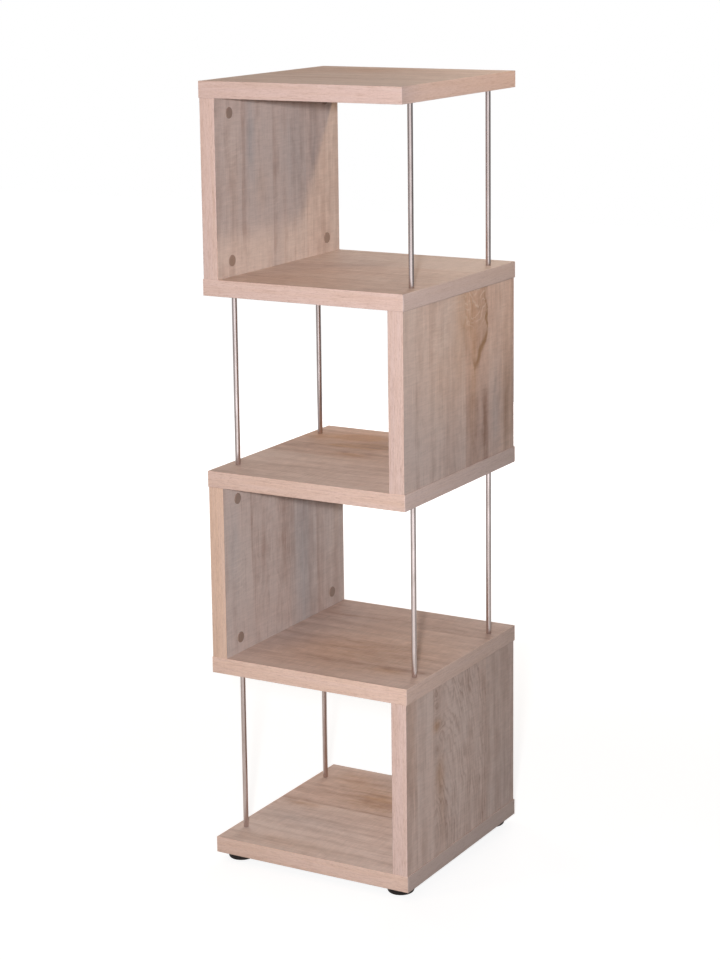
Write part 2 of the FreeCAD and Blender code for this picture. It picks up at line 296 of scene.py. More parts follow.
# Each board or panel lists its planks: where they meet across the grain, and for each plank the middle of
# its rings, how deep it was cut from the log at the piece's middle, how fast that depth changes along it,
# how strong its figure is, how warm it is and how much darker it is. What follows is on the face that
# shows, at places across and along the grain:
# streaks (across, half width, from, to, darkness),
# stains (across, along, half width, half length, strength, which is below 0 for a cool stain),
# knots (across, along, half width, half length, how many rings they lift),
# saws (across, along, half width, half length) and
# flames (across, along of the tip, half width, height of its bow).
oakPieces = {
    "base_board": {
        "grain": 0, "seed": 3.1, "joints": (12, 100), "middles": (-60, 50, 240), "depths": (50, 26, 80),
        "tapers": (0.05, 0.12, 0.05), "figures": (0.25, 0.45, 0.3), "warmths": (0.3, 0.66, 0.6),
        "darks": (-0.05, 0.06, 0.04), "contrast": 1.1,
        "streaks": ((10, 5, -190, 60, 0.3), (-2, 7, -190, -88, 0.4), (50, 10, -60, 90, 0.26),
                    (128, 4, -170, 120, 0.14), (-95, 4, -140, 140, 0.08), (84, 5, -90, 60, 0.18)),
        "stains": ((0, -120, 9, 28, 0.5), (62, -20, 40, 48, 0.75), (140, -120, 30, 50, 0.3),
                   (118, -80, 30, 40, 0.25), (-58, -80, 32, 120, -0.3), (-150, -60, 22, 90, 0.25),
                   (80, 10, 90, 170, 0.28)),
        "knots": ((98, -104, 10, 13, 2.4),), "saws": (), "flames": (),
    },
    "lower_shelf": {
        "grain": 0, "seed": 9.7, "joints": (40, 92), "middles": (-108, 66, 240), "depths": (14, 40, 70),
        "tapers": (0.1, 0.05, 0.05), "figures": (0.4, 0.2, 0.3), "warmths": (0.7, 0.7, 0.6),
        "darks": (0.02, 0.05, 0.14), "contrast": 0.9,
        # of the streaks below, the wide one at -150 across, which brightens the front of the shelf, is
        # painted light
        "streaks": ((-104, 7, -60, 175, 0.42), (105, 6, -150, 0, 0.3), (112, 5, -20, 175, 0.2),
                    (86, 3, -150, 175, 0.14), (35, 3, -150, 20, 0.1), (150, 4, -150, 80, 0.12),
                    (-150, 32, -190, 190, -0.3)),
        # of the stains below, the cool ones at (60, -110) and (-40, -130) are painted shade on the left and
        # back of the shelf
        "stains": ((-112, 104, 14, 26, 0.6), (105, -90, 8, 40, 0.3), (-70, 40, 70, 130, 0.22),
                   (60, -110, 90, 50, -0.3), (-40, -130, 50, 40, -0.3), (-10, 30, 150, 150, 0.4)),
        "knots": ((-108, 100, 13, 22, 2.4), (-104, 156, 9, 16, 2.0)), "saws": (), "flames": (),
    },
    "middle_shelf": {
        "grain": 0, "seed": 15.3, "joints": (-10, 62), "middles": (-120, 30, 220), "depths": (60, 16, 60),
        "tapers": (0.05, -0.15, 0.05), "figures": (0.25, 0.5, 0.35), "warmths": (0.42, 0.8, 0.85),
        "darks": (0.0, 0.08, 0.12), "contrast": 1.2,
        "streaks": ((120, 10, -120, 20, 0.3), (80, 5, -70, 60, 0.26), (30, 4, -170, 60, 0.14),
                    (-90, 3, -150, 140, 0.1), (150, 4, -170, 60, 0.15), (-50, 3, -120, 120, 0.08),
                    (66, 9, -60, 10, 0.3), (20, 8, -30, 60, 0.2)),
        "stains": ((125, -72, 20, 34, 1.5), (72, -25, 16, 28, 1.3), (60, -75, 12, 24, 1.0),
                   (10, -30, 14, 30, 0.7), (110, -130, 30, 60, 0.5), (-100, 20, 40, 90, -0.1),
                   (70, -20, 110, 140, 0.42)),
        "knots": ((24, -48, 12, 20, 1.8),), "saws": ((-140, -20, 26, 60),), "flames": (),
    },
    "upper_shelf": {
        "grain": 0, "seed": 21.9, "joints": (-66, 52), "middles": (-150, 0, 220), "depths": (40, 40, 80),
        "tapers": (0.1, 0.05, 0.05), "figures": (0.3, 0.3, 0.15), "warmths": (0.3, 0.2, 0.05),
        "darks": (0.0, -0.03, -0.1), "contrast": 0.6,
        # of the streaks below, the wide one at 104 across, which paler the right and back of the shelf, is
        # a painted sheen
        "streaks": ((-118, 4, -150, -40, 0.24), (60, 4, -150, 20, 0.1), (-20, 3, 0, 175, 0.09),
                    (-92, 3, -60, 175, 0.08), (20, 3, -150, 100, 0.07), (104, 72, 0, 190, -0.26),
                    (-2, 5, -160, -80, 0.16)),
        "stains": ((90, 90, 70, 110, -0.1), (-40, 110, 60, 60, -0.12)),
        "knots": (), "saws": (), "flames": (),
    },
    "top_board": {
        "grain": 0, "seed": 27.4, "joints": (-66, 54), "middles": (-200, -10, 230), "depths": (70, 50, 80),
        "tapers": (0.05, 0.08, 0.05), "figures": (0.2, 0.3, 0.2), "warmths": (0.5, 0.52, 0.72),
        "darks": (-0.16, -0.13, -0.13), "contrast": 0.95,
        "streaks": ((60, 3, -100, 90, 0.12), (-100, 3, -60, 175, 0.09), (20, 3, -175, 60, 0.09),
                    (120, 4, -150, 60, 0.1), (-140, 3, -175, 60, 0.07)),
        "stains": ((110, -45, 50, 62, 0.5), (40, -130, 50, 40, 0.18), (-50, 60, 50, 110, -0.12)),
        "knots": (), "saws": (), "flames": (),
    },
    "bottom_right_panel": {
        "grain": 2, "seed": 33.2, "joints": (-146, -95, 81), "middles": (-300, -300, -84, 300),
        "depths": (90, 90, 44, 90), "tapers": (0.0, 0.0, 0.42, 0.0), "figures": (0.2, 0.1, 1.35, 0.3),
        "warmths": (0.6, 0.45, 0.4, 0.25), "darks": (0.04, -0.14, -0.02, 0.1), "contrast": 1.0,
        "streaks": ((72, 9, 30, 300, 0.28), (-55, 5, 30, 140, 0.4), (-30, 6, 30, 160, 0.13),
                    (130, 22, 20, 180, 0.14), (-168, 6, 30, 310, 0.12), (-88, 4, 60, 190, -0.2)),
        "stains": ((-74, 160, 13, 30, 0.5), (-82, 244, 12, 10, 0.7), (140, 80, 50, 70, -0.3),
                   (-66, 110, 8, 50, 0.25), (-166, 250, 16, 90, 0.25)),
        "knots": ((-82, 274, 15, 13, 3.4), (-80, 243, 13, 9, 3.0), (-81, 205, 14, 14, 3.4)), "saws": (),
        "flames": (),
    },
    "lower_left_panel": {
        "grain": 2, "seed": 39.8, "joints": (-97, 12, 92), "middles": (-300, -40, 300, 330),
        "depths": (90, 22, 90, 80), "tapers": (0.0, 0.12, 0.0, 0.0), "figures": (0.15, 0.6, 0.1, 0.2),
        "warmths": (0.15, 0.16, 0.0, 0.2), "darks": (-0.1, -0.09, 0.0, -0.06), "contrast": 1.0,
        # of the streaks below, the wide one at -40 across, which brightens the lower part of the face, is
        # painted light
        "streaks": ((-98, 3, 420, 600, 0.4), (-68, 7, 430, 570, 0.24), (-44, 9, 320, 590, -0.2),
                    (-14, 9, 395, 600, 0.3), (-72, 4, 330, 430, 0.16), (-137, 8, 470, 590, -0.22),
                    (128, 6, 330, 570, 0.12), (100, 4, 320, 600, 0.2), (3, 5, 430, 570, 0.3),
                    (-40, 120, 300, 430, -0.14)),
        "stains": ((50, 470, 34, 95, -0.6), (52, 360, 30, 60, -0.3), (0, 400, 260, 260, -0.25),
                   (-150, 500, 16, 90, -0.3)),
        "knots": (), "saws": ((-140, 455, 22, 42),), "flames": (),
    },
    "upper_right_panel": {
        "grain": 2, "seed": 45.5, "joints": (14, 92), "middles": (-200, 55, 300), "depths": (90, 14, 90),
        "tapers": (0.0, 0.1, 0.0), "figures": (0.12, 0.2, 0.15), "warmths": (0.35, 0.8, 0.7),
        "darks": (-0.15, 0.0, -0.04), "contrast": 0.9,
        "streaks": ((78, 10, 600, 746, 0.6), (42, 20, 600, 745, 0.26), (130, 5, 700, 900, 0.14),
                    (150, 10, 600, 745, 0.3), (-146, 5, 600, 900, -0.14), (-84, 7, 600, 690, 0.22),
                    (-118, 4, 600, 900, 0.09), (172, 5, 600, 900, 0.16)),
        "stains": ((4, 850, 30, 90, 0.35), (42, 770, 13, 60, 0.36), (34, 700, 14, 60, 0.24),
                   (112, 690, 14, 70, -0.25), (44, 870, 40, 50, 0.25), (156, 700, 22, 110, 0.45),
                   (-60, 770, 40, 60, 0.12)),
        "knots": (), "saws": ((-68, 836, 24, 30), (-20, 878, 26, 9)), "flames": ((48, 772, 37, 46),),
    },
    "top_left_panel": {
        "grain": 2, "seed": 51.1, "joints": (-98, -20, 78), "middles": (-300, -300, 30, 300),
        "depths": (90, 90, 20, 90), "tapers": (0.0, 0.0, 0.08, 0.0), "figures": (0.15, 0.1, 0.3, 0.15),
        "warmths": (0.15, 0.0, 0.05, 0.25), "darks": (-0.12, -0.17, -0.17, -0.11), "contrast": 1.0,
        "streaks": ((-104, 6, 955, 1190, 0.28), (-16, 4, 1025, 1170, 0.34), (-8, 13, 925, 1000, 0.2),
                    (98, 13, 1030, 1165, 0.2), (-60, 5, 990, 1190, 0.12), (-125, 4, 950, 1110, 0.14),
                    (25, 6, 990, 1160, -0.12), (150, 5, 915, 1160, 0.12), (-40, 4, 915, 1100, 0.1),
                    (60, 4, 960, 1190, 0.1)),
        "stains": ((-87, 1120, 13, 60, -0.6), (42, 1090, 34, 70, -0.35), (-132, 1060, 18, 70, 0.15),
                   (-55, 1040, 18, 34, 0.2), (100, 1090, 12, 60, -0.4), (0, 1080, 260, 200, -0.22)),
        "knots": (), "saws": ((-10, 1014, 14, 14), (-132, 1108, 20, 34)), "flames": (),
    },
}


def total(values):
    # the sum of a list of wires, or 0 for an empty one
    result = 0.0
    for value in values:
        result = value + result
    return result


def nearPlace(across, along, place):
    # squared distance from a place, in half widths and half lengths
    u, v = (across - place[0]) / place[2], (along - place[1]) / place[3]
    return u * u + v * v


def streakBand(drift, along, streak, fade):
    # a flat-topped band across the grain, faded at both ends
    middle, halfWidth, low, high, darkness = streak
    u = (drift - middle) / halfWidth
    square = u * u
    ends = along.rise(low, low + fade) * (1 - along.rise(high - fade, high))
    return (square * square).hill() * ends * darkness


def flameFigure(finish, across, along, flame):
    # a patch above a notch: inside is along over the notch's height, less across over the half width. It
    # gives the patch, its thin light lines, nested like the notch, and its dark outline on the right side.
    look = oakPrint
    middle, tip, halfWidth, notch = flame
    bend = finish.noise((across, along, 4.2), look["flameBend"], 1.0)
    jag = finish.noise((across, along, 8.4), look["flameJag"])
    u = (across - middle + bend.sway(look["flameBendBy"]) + jag.sway(look["flameJagBy"])) / halfWidth
    v = (along - tip) / notch
    side = u.size()
    inside = v - side
    patch = inside.rise(-0.1, 0.7) * (1 - side.rise(0.8, 1.15))
    count = (v - side * 0.7) * (notch / look["flameSpacing"]) + bend * 3.4 + jag * 1.2
    lines = finish.ramp(count.fract(), look["flameLine"])
    rim = (inside - 0.05) / 0.2
    edge = (side - 0.95) / 0.08
    notchLine = (rim * rim).hill() * (1 - side.rise(0.85, 1.1))
    sideLine = (edge * edge).hill() * inside.rise(0.0, 0.4) * (1 - v.rise(1.4, 2.8) * 0.65)
    outline = notchLine.most(sideLine) * (u.rise(-0.35, 0.25) * 0.85 + 0.15)
    return patch, lines * patch * v.rise(1.0, 1.8), outline


def oakLaminate(name, piece):
    look = oakPrint
    finish = Finish(name + "_oak")
    point = finish.place()
    grain = piece["grain"]
    along, across, through = point[grain], point[1], point[2 - grain]
    low, high = boxOf(name)
    shown = through > (low[2 - grain] + high[2 - grain]) / 2      # 1 on the face that shows, 0 on the other
    seed = shown * look["otherFace"] + piece["seed"]
    wander = finish.noise((across, along, seed), look["wander"])
    wobble = finish.noise((across, along, seed), look["wobble"])
    drift = across + wander.sway(look["wanderBy"]) + wobble.sway(look["wobbleBy"])
    joints = piece["joints"]
    middle, depth, taper, figure, warmth, dark = (
        stepped(across, joints, piece[key])
        for key in ("middles", "depths", "tapers", "figures", "warmths", "darks"))
    plankSeed = seed + stepped(across, joints, [look["nextPlank"] * k for k in range(len(joints) + 1)])

    # Growth rings: the distance from the heart of the log, whose depth under the face changes along it,
    # over the spacing. A knot lifts the rings round it, so that they close to an eye.
    fromHeart = drift - middle
    under = (along - (low[grain] + high[grain]) / 2) * taper + depth
    arch = (fromHeart * fromHeart + under * under).root()
    stray = finish.noise((across, along, plankSeed), look["ringStray"], 3.0)
    rings = arch / look["ringSpacing"] + stray * look["ringStrayBy"]
    knots = [(nearPlace(across, along, knot), knot[4]) for knot in piece["knots"]]
    rings = rings + total([spread.hill() * shown * lift for spread, lift in knots])
    eyes = total([(spread * 5).hill() for spread, lift in knots])
    lateWood = finish.ramp(rings.fract(), look["ringDarkness"])
    fade = finish.noise((across, along, plankSeed + 2.1), look["ringFade"]).rise(0.36, 0.66)
    lines = lateWood * figure * (fade * 0.75 + 0.25)

    # Noise drawn out along the grain, then across it
    broad = finish.noise((drift, along, plankSeed), look["broad"])
    streak = finish.noise((drift, along, plankSeed), look["streak"])
    fibre = finish.noise((drift, along, seed), look["fibre"])
    pore = finish.noise((drift, along, seed), look["pore"], 1.0).rise(0.6, 0.74)
    blotch = finish.noise((drift, along, plankSeed), look["blotch"])
    weave = finish.noise((across, along, seed), look["weave"])
    ripple = finish.noise((across, along, seed), look["ripple"], 1.0)
    cloud = finish.noise((across, along, plankSeed + 7.7), look["cloud"])

    # What is drawn on the shown face: streaks, stains, saw marks and flames; a few listed streaks and
    # stains are painted light and painted shade
    bands = total([streakBand(drift, along, s, look["streakFade"]) for s in piece["streaks"]])
    warm = total([nearPlace(drift, along, s).hill() * s[4] for s in piece["stains"] if s[4] > 0])
    cold = total([nearPlace(drift, along, s).hill() * -s[4] for s in piece["stains"] if s[4] < 0])
    sawn = total([nearPlace(across, along, s).hill() for s in piece["saws"]])
    bow = (along - across * look["sawTilt"] + wander.sway(look["sawBow"])) / look["sawSpacing"]
    teeth = finish.ramp((bow + wobble * 2.2).fract(), look["sawLine"])
    flames = [flameFigure(finish, across, along, f) for f in piece["flames"]]
    flamePatch, flameLines, flameRims = (total([f[k] for f in flames]) for k in range(3))

    # Colours go on one after the other: ground, warm and cool stains, what is dark, what is pale
    patchy = blotch * 0.9 + streak * 0.5 + 0.3
    marks = teeth * (shown * sawn * 0.7 + cloud.rise(0.5, 0.75) * 0.1)
    rosy = (warmth + cloud.sway(0.9)).most(0.0)
    colour = finish.blend(rosy, tint(look["cool"]), tint(look["rosy"]))
    colour = finish.blend(shown * patchy * (warm + flamePatch * 0.2), colour, tint(look["gold"]))
    colour = finish.blend(shown * patchy * cold, colour, tint(look["blue"]))
    uneven = (broad.sway(0.8) + streak.sway(0.4)) * piece["contrast"]
    darkness = dark + uneven + blotch.sway(0.5) + cloud.sway(0.4) + lines * 0.3 + look["darkness"]
    drawn = bands * patchy * look["streakStrength"] + eyes * 0.3 + flameRims * 0.2
    darkness = (darkness + shown * drawn).most(0.0).least(0.9)
    colour = finish.blend(darkness, colour, tint(look["brown"]))
    colour = finish.blend(shown * flameRims * 0.8, colour, tint(look["amber"]))
    colour = finish.blend(marks * 0.36 + shown * flameLines * 0.45, colour, tint(look["light"]))
    level = 1 + fibre.sway(0.3) + ripple.sway(0.2) + weave.sway(0.16) - pore * 0.17
    rough = fibre.sway(0.16) + pore * 0.12 + cloud.sway(0.08) + look["roughness"]
    height = fibre * 0.35 + ripple * 0.12 - pore * 0.9 + marks * 0.4 - lines * 0.2
    return finish.surface({
        "Base Color": finish.shade(colour, level), "Roughness": rough,
        "Normal": finish.bump(height, look["relief"]), "Specular IOR Level": look["specular"],
    })


def dress(name, material):
    # a construction node keeps its mesh and gets this finish
    slots = nodes[name].data.materials
    slots.clear()
    slots.append(material)


def dressBoardsAndPanels():
    for name, piece in oakPieces.items():
        dress(name, oakLaminate(name, piece))
    print("oak laminate on", len(oakPieces), "boards and panels")


dressBoardsAndPanels()


# Meshes from arrays

sharpAngle = 30                # degrees; an edge that turns more is shaded sharp


def ringQuads(rows, columns, looped=False):
    # quads between neighbouring rings; looped joins the last ring to the first
    row = np.arange(rows if looped else rows - 1)[:, None]
    column = np.arange(columns)[None, :]
    nextRow, nextColumn = (row + 1) % rows, (column + 1) % columns
    corners = [row * columns + column, row * columns + nextColumn,
               nextRow * columns + nextColumn, nextRow * columns + column]
    return np.stack(corners, axis=-1).reshape(-1, 4)


def axesFor(direction):
    # two unit vectors that make a right-handed set with the direction
    direction = np.array(direction, float)
    helper = np.array((0.0, 0.0, 1.0)) if abs(direction[2]) < 0.5 else np.array((1.0, 0.0, 0.0))
    first = np.cross(helper, direction)
    first /= np.linalg.norm(first)
    return first, np.cross(direction, first), direction


def turnedPart(profile, base, direction, around, looped=False):
    # a turned solid: a point is base + radius (cos a, sin a) + height along the direction, for every
    # (radius, height) of the profile and every angle a. The profile climbs on the outside.
    first, second, axis = axesFor(direction)
    radius, height = np.array(profile, float).T
    angle = np.linspace(0, 2 * math.pi, around, endpoint=False)
    ring = np.cos(angle)[:, None] * first + np.sin(angle)[:, None] * second
    points = np.array(base) + radius[:, None, None] * ring + height[:, None, None] * axis
    rows = len(profile)
    caps = [] if looped else [np.arange(around)[::-1], np.arange(around) + (rows - 1) * around]
    return {"points": points.reshape(-1, 3), "quads": ringQuads(rows, around, looped), "caps": caps}


def easedStrip(low, high, outward, radius, steps=4):
    # a flat strip with rounded outer arrises: rings of four corners climb from the glued face, and at
    # angle a of the rounding they move in by radius (1 - cos a) and up by radius sin a
    low, high, normal = np.array(low, float), np.array(high, float), np.array(outward, float)
    extent = (high - low) * (1 - abs(normal))
    longAxis = np.eye(3)[np.argmax(extent)]
    wideAxis = np.cross(normal, longAxis)
    halfLong, halfWide = extent @ longAxis / 2, extent @ abs(wideAxis) / 2
    thickness = (high - low) @ abs(normal)
    angle = np.linspace(0, math.pi / 2, steps + 1)
    inset = np.concatenate([[0, 0], radius * (1 - np.cos(angle[1:]))])
    height = np.concatenate([[0], [thickness - radius], thickness - radius + radius * np.sin(angle[1:])])
    corner = np.array([(-1, -1), (1, -1), (1, 1), (-1, 1)])
    a = corner[:, 0] * (halfLong - inset[:, None])
    b = corner[:, 1] * (halfWide - inset[:, None])
    foot = (low + high) / 2 - normal * thickness / 2
    points = (foot + a[..., None] * longAxis + b[..., None] * wideAxis + height[:, None, None] * normal)
    points = points.reshape(-1, 3)
    rows = len(inset)
    caps = [np.arange(4)[::-1], np.arange(4) + (rows - 1) * 4]
    uv = np.stack([points @ longAxis, points @ wideAxis], axis=1)
    return {"points": points, "quads": ringQuads(rows, 4), "caps": caps, "uv": uv}


def buildPiece(name, parts, material, slot, *replaced):
    # joins closed parts into one mesh, which stands for the given nodes
    starts = np.cumsum([0] + [len(part["points"]) for part in parts])
    points = np.concatenate([part["points"] for part in parts]) * mm
    faces = []
    for start, part in zip(starts, parts):
        faces += (part["quads"] + start).tolist() + [(cap + start).tolist() for cap in part["caps"]]
    mesh = bpy.data.meshes.new(name)
    mesh.from_pydata(points.tolist(), [], faces)
    if "uv" in parts[0]:
        perPoint = np.concatenate([part["uv"] for part in parts]) * mm
        corners = np.zeros(len(mesh.loops), np.int32)
        mesh.loops.foreach_get("vertex_index", corners)
        layer = mesh.uv_layers.new(name="strip")
        layer.data.foreach_set("uv", perPoint[corners].astype(np.float32).ravel())
    mesh.polygons.foreach_set("use_smooth", np.ones(len(mesh.polygons), bool))
    mesh.set_sharp_from_angle(angle=math.radians(sharpAngle))
    mesh.materials.append(material)
    mesh.update()
    piece = bpy.data.objects.new(name, mesh)
    bpy.context.scene.collection.objects.link(piece)
    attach(piece, "root")
    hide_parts(*replaced)


# Edge bands, glued round boards and on the front and back of panels

edgeBand = {
    "thickness": 1.0,
    "arris": 0.5,              # radius of the eased arrises
    "pale": (226, 198, 189),
    "warm": (226, 192, 168),
    "line": (188, 153, 137),
    # cold is the colour of painted cool shade on the strip at a board's right side
    "cold": (160, 154, 156),
    # how light and how warm the band on each board or panel is: no two strips are quite alike
    "tones": {
        "base_board": (0.985, 0.35), "lower_shelf": (1.04, 0.4), "middle_shelf": (0.975, 0.3),
        "upper_shelf": (0.97, 0.05), "top_board": (0.92, -0.05), "bottom_right_panel": (0.99, 0.0),
        "lower_left_panel": (0.955, 0.7), "upper_right_panel": (0.945, 0.0), "top_left_panel": (0.92, 0.0),
    },
    # painted light and shade on the strip at a board's right side: how much of the cold colour it takes,
    # and by what factor its level is raised
    "rightSidePaintedLight": {"base_board": (0.45, 1.0), "lower_shelf": (0.2, 1.06), "middle_shelf": (0.38, 1.3),
                  "upper_shelf": (0.5, 1.22), "top_board": (0.18, 1.17)},
    # length along the strip and width across it of the patches of each noise
    "broad": (150, 6), "streak": (40, 2.0), "fine": (16, 0.9), "dash": (6, 0.8), "speck": (2.4, 1.4),
    "wear": (0.2, 1.1),        # a strip is worn at its arrises, and less so up to here; over the same width its lower arris gets painted shade
    "roughness": 0.44,
    "specular": 0.4,
    "relief": 0.08,
}


def edgeFinish(name, lowEdge, highEdge, acrossAxis):
    # lowEdge and highEdge: where the strip's arrises are on the axis across it
    look = edgeBand
    finish = Finish(name + "_band")
    u, v = finish.along("strip")
    position = finish.place()[acrossAxis]
    # the place across the strip and its arris seed the noise, so that no two strips are alike
    seed = finish.noise((position, 0.0, highEdge * 0.137), (400,)) * 0.5 + highEdge * 0.31
    broad = finish.noise((u, v, seed), look["broad"], 3.0)
    streak = finish.noise((u, v, seed + 4.4), look["streak"])
    fine = finish.noise((u, v, seed), look["fine"], 3.0, 0.6)
    dash = finish.noise((u, v, seed), look["dash"], 1.0).rise(0.57, 0.68)
    speck = finish.noise((u, v, seed), look["speck"])
    toArris = (position - lowEdge).least(highEdge - position)
    worn = 1 - toArris.rise(*look["wear"])
    # painted shade: the arris on the low side across the strip, the bottom arris of a board and the left
    # one of a panel, is made darker
    lower = worn * ((position * -1 + (lowEdge + highEdge) / 2) > 0)
    tone, warmth = look["tones"][name]
    warmer = broad.sway(0.9) + (warmth + 0.15)
    ground = finish.blend(warmer.most(0.0), tint(look["pale"]), tint(look["warm"]))
    lines = fine.rise(0.4, 0.8) * 0.52 + broad.rise(0.45, 0.8) * 0.16
    lines = lines + streak.rise(0.48, 0.75) * 0.3 + dash * 0.34
    colour = finish.blend(lines, ground, tint(look["line"]))
    level = (1 + speck.sway(0.16) + streak.sway(0.08) + worn * 0.05 - lower * 0.16) * tone
    # painted light and shade: the strip on a board's right side takes the cold colour and a raised level
    if name in look["rightSidePaintedLight"]:
        paintedCoolShare, paintedLightLevel = look["rightSidePaintedLight"][name]
        onRight = finish.place()[0] > boxOf(name)[1][0]
        colour = finish.blend(onRight * paintedCoolShare, colour, tint(look["cold"]))
        level = level * (onRight * (paintedLightLevel - 1) + 1)
    rough = fine.sway(0.2) + worn * 0.08 + look["roughness"]
    height = fine * 0.5 - dash * 0.6 + speck * 0.15
    return finish.surface({
        "Base Color": finish.shade(colour, level), "Roughness": rough,
        "Normal": finish.bump(height, look["relief"]), "Specular IOR Level": look["specular"],
    })


def makeEdging(name):
    low, high = boxOf(name)
    t, arris = edgeBand["thickness"], edgeBand["arris"]
    isBoard = name in boardNames
    nodeLow, nodeHigh = boxOf(name + "_edging")
    (x0, y0, z0), (x1, y1, z1) = nodeLow, nodeHigh
    parts = [easedStrip((x0, y0, z0), (x1, y0 + t, z1), (0, -1, 0), arris),
             easedStrip((x0, y1 - t, z0), (x1, y1, z1), (0, 1, 0), arris)]
    if isBoard:
        parts.append(easedStrip((x0, low[1], z0), (x0 + t, high[1], z1), (-1, 0, 0), arris))
        parts.append(easedStrip((x1 - t, low[1], z0), (x1, high[1], z1), (1, 0, 0), arris))
    acrossAxis = 2 if isBoard else 0
    material = edgeFinish(name, nodeLow[acrossAxis], nodeHigh[acrossAxis], acrossAxis)
    buildPiece(name + "_edge_strips", parts, material, "oak_edge_band", name + "_edging")


for boardOrPanel in (*boardNames, *panelNames):
    makeEdging(boardOrPanel)
print("edge strips made")


# Steel rods

rodLook = {
    "around": 64,
    "rings": 9,                # of points, spaced evenly along the rod
    "chamfer": 0.5,
    "colour": (220, 208, 208),
    "shade": (204, 192, 190),
    # sizes in x, y and z of the patches of each noise: drawn makes fine lines along the rod
    "drawn": (0.35, 0.35, 60), "smudge": (7, 7, 38), "nick": (1.4, 1.4, 1.8),
    "roughness": 0.22,
    "relief": 0.002,
}


def rodFinish():
    look = rodLook
    finish = Finish("rod_polished_steel")
    point = finish.place()
    drawn = finish.noise(point, look["drawn"], 3.0, 0.6)
    smudge = finish.noise(point, look["smudge"], 3.0)
    nick = finish.noise(point, look["nick"], 1.0).rise(0.7, 0.78)
    colour = finish.blend(smudge.rise(0.35, 0.65), tint(look["colour"]), tint(look["shade"]))
    level = 1 + drawn.sway(0.1) - nick * 0.06
    rough = smudge.rise(0.45, 0.75) * 0.06 + drawn.sway(0.06) + nick * 0.04 + look["roughness"]
    return finish.surface({
        "Base Color": finish.shade(colour, level), "Metallic": 1.0,
        "Roughness": rough, "Normal": finish.bump(drawn, look["relief"]),
    })


def makeRods():
    material = rodFinish()
    for name in rodNames:
        low, high = boxOf(name)
        radius, length, c = (high[0] - low[0]) / 2, high[2] - low[2], rodLook["chamfer"]
        stops = np.linspace(c, length - c, rodLook["rings"])
        profile = [(radius - c, 0)] + [(radius, s) for s in stops] + [(radius - c, length)]
        base = ((low[0] + high[0]) / 2, (low[1] + high[1]) / 2, low[2])
        rod = turnedPart(profile, base, (0, 0, 1), rodLook["around"])
        buildPiece(name + "_bar", [rod], material, "rod_steel", name)
    print("rods made:", len(rodNames))


makeRods()


# Cover caps over the cam fittings

capLook = {
    "around": 48,
    "diameter": 17,
    "height": 1.2,
    "rimRadius": 0.5,
    "spigotDiameter": 15,
    "dish": 0.15,              # the face is sunk this much inside its rim
    "colour": (160, 137, 125),
    "shade": (148, 126, 114),
    # sizes in x, y and z of the patches of each noise
    "grain": (0.5, 0.5, 0.5), "cloud": (9, 9, 9), "scuff": (3, 0.6, 6),
    "roughness": 0.5,
    "specular": 0.4,
    "relief": 0.05,
}


def capFinish():
    look = capLook
    finish = Finish("cap_brown_plastic")
    point = finish.place()
    grain = finish.noise(point, look["grain"])
    cloud = finish.noise(point, look["cloud"])
    scuff = finish.noise(point, look["scuff"]).rise(0.6, 0.75)
    colour = finish.blend(cloud, tint(look["colour"]), tint(look["shade"]))
    level = 1 + grain.sway(0.1) + scuff * 0.05
    rough = grain.sway(0.15) + scuff * 0.08 + look["roughness"]
    return finish.surface({
        "Base Color": finish.shade(colour, level), "Roughness": rough,
        "Normal": finish.bump(grain, look["relief"]), "Specular IOR Level": look["specular"],
    })


def makeCaps():
    material = capFinish()
    look = capLook
    r, h, rim, dish = look["diameter"] / 2, look["height"], look["rimRadius"], look["dish"]
    spigot = look["spigotDiameter"] / 2
    turn = np.linspace(0, math.pi / 2, 6)
    arc = [(r - rim + rim * math.cos(a), h - rim + rim * math.sin(a)) for a in turn]
    face = [(r - 3 * rim, h - dish / 2), (r - 5 * rim, h - dish), (r / 3, h - dish)]
    for name in panelNames:
        nodeLow, nodeHigh = boxOf(name + "_cover_caps")
        panelLow, panelHigh = boxOf(name)
        onRight = panelLow[0] > 0
        inner = panelLow[0] if onRight else panelHigh[0]
        outward = -1 if onRight else 1
        depth = (nodeHigh[0] - nodeLow[0]) - h                       # how far the spigot reaches in
        profile = [(spigot, -depth), (spigot, 0), (r, 0)] + arc + face
        rows = (nodeLow[1] + r, nodeHigh[1] - r)
        levels = (nodeLow[2] + r, nodeHigh[2] - r)
        parts = [turnedPart(profile, (inner, y, z), (outward, 0, 0), look["around"])
                 for y in rows for z in levels]
        buildPiece(name + "_cap_discs", parts, material, "cap_plastic", name + "_cover_caps")
    print("cover caps made")


makeCaps()


# Glides

glideLook = {
    "around": 72,
    "lowerRound": 4.0,
    "upperRound": 0.6,
    "grooveHeight": 8.6,
    "groove": 0.35,
    "holeRadius": 4.6,
    "shankRadius": 2.1,
    "headRecess": 2.0,
    "seatTop": 4.5,
    "dish": 0.5,               # depth of the hollow underside
    "dishStart": (1.5, 3),     # how far outside the hole it starts, and has its depth
    "dishEnd": (0.62, 0.7),    # shares of the glide's radius where it leaves its depth, and ends
    "colour": (26, 21, 21),
    "dusty": (72, 62, 60),
    # sizes in x, y and z of the patches of each noise
    "grain": (0.6, 0.6, 0.6), "dust": (6, 6, 3), "scuff": (1.2, 9, 1.5),
    "scuffTop": (0.4, 4.5),    # scuffed where it slides, and less so up to here
    "roughness": 0.46,
    "specular": 0.3,
    "relief": 0.08,
}


